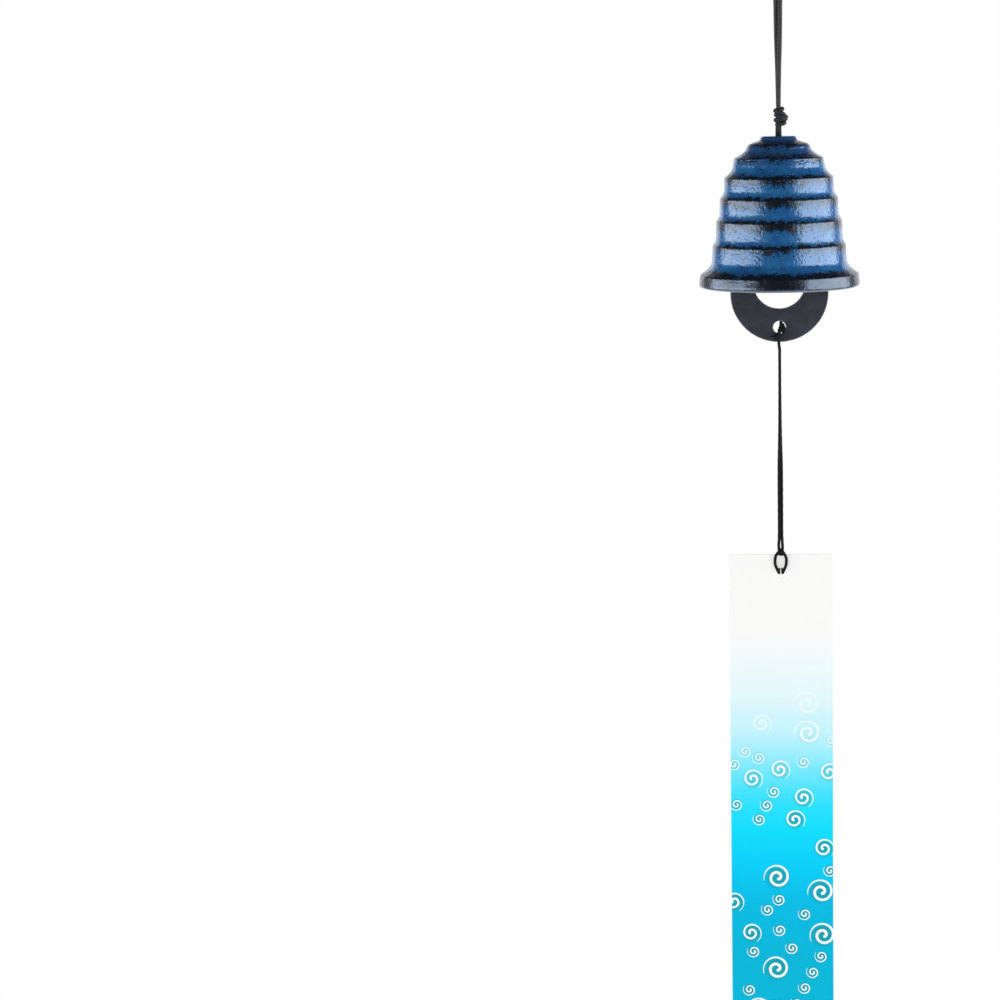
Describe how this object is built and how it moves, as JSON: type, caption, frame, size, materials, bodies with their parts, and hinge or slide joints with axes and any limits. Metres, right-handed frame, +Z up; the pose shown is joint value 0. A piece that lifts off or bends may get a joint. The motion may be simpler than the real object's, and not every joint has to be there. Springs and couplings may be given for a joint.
{
  "type": "cast iron wind chime",
  "caption": "Stepped cast iron bell on a cord loop, with an iron ring clapper inside it, a thin tail cord and a paper strip that catches the wind.",
  "frame": {"origin": "hanging point: the inner side of the cord loop's bight, where a nail or hook bears", "axes": "+Z up along the hanging cord; +X to the right along the clapper and the paper strip; -Y is the face of the clapper and the strip seen in the picture"},
  "size_m": [0.0598, 0.0598, 0.4063],
  "materials": {
    "painted_cast_iron": "blue paint over black, satin, with black left in the grooves",
    "dark_iron": "matt dark grey coat",
    "braided_cord": "braided, black with a blue cast",
    "thin_cord": "smooth waxed, black",
    "printed_paper": "matt card, printed from white above to cyan below"
  },
  "bodies": {
    "hanger": {"hanger_loop": "braided_cord"},
    "neck": {"hanger_knot": "braided_cord", "hanger_neck": "braided_cord", "stop_knot": "braided_cord"},
    "bell": {"bell": "painted_cast_iron"},
    "clapper_line": {"clapper_cord": "braided_cord", "clapper_tie": "braided_cord"},
    "clapper": {"clapper": "dark_iron"},
    "tail": {"tail_hitch": "thin_cord"},
    "tail_line": {"tail_cord": "thin_cord"},
    "strip": {"strip_hitch": "thin_cord", "paper_strip": "printed_paper"}
  },
  "joints": [
    {"name": "bell_swing", "type": "hinge", "parent": "hanger", "child": "neck", "pos_m": [0, 0, -0.058], "axis": [0, 1, 0], "range_deg": [-20, 20]},
    {"name": "bell_turn", "type": "hinge", "parent": "neck", "child": "bell", "pos_m": [0, 0, -0.0738], "axis": [0, 0, 1], "continuous": true},
    {"name": "clapper_swing", "type": "hinge", "parent": "neck", "child": "clapper_line", "pos_m": [0, 0, -0.0738], "axis": [0, 1, 0], "range_deg": [-6, 6]},
    {"name": "clapper_rock", "type": "hinge", "parent": "clapper_line", "child": "clapper", "pos_m": [0, 0, -0.10965], "axis": [1, 0, 0], "range_deg": [-18, 18]},
    {"name": "tail_swing", "type": "hinge", "parent": "clapper", "child": "tail", "pos_m": [0, 0, -0.1383], "axis": [0, 1, 0], "range_deg": [-25, 25]},
    {"name": "strip_twist", "type": "hinge", "parent": "tail", "child": "tail_line", "pos_m": [0, 0, -0.14845], "axis": [0, 0, 1], "range_deg": [-90, 90]},
    {"name": "strip_flap", "type": "hinge", "parent": "tail_line", "child": "strip", "pos_m": [0, 0, -0.22325], "axis": [1, 0, 0], "range_deg": [-45, 45]}
  ]
}
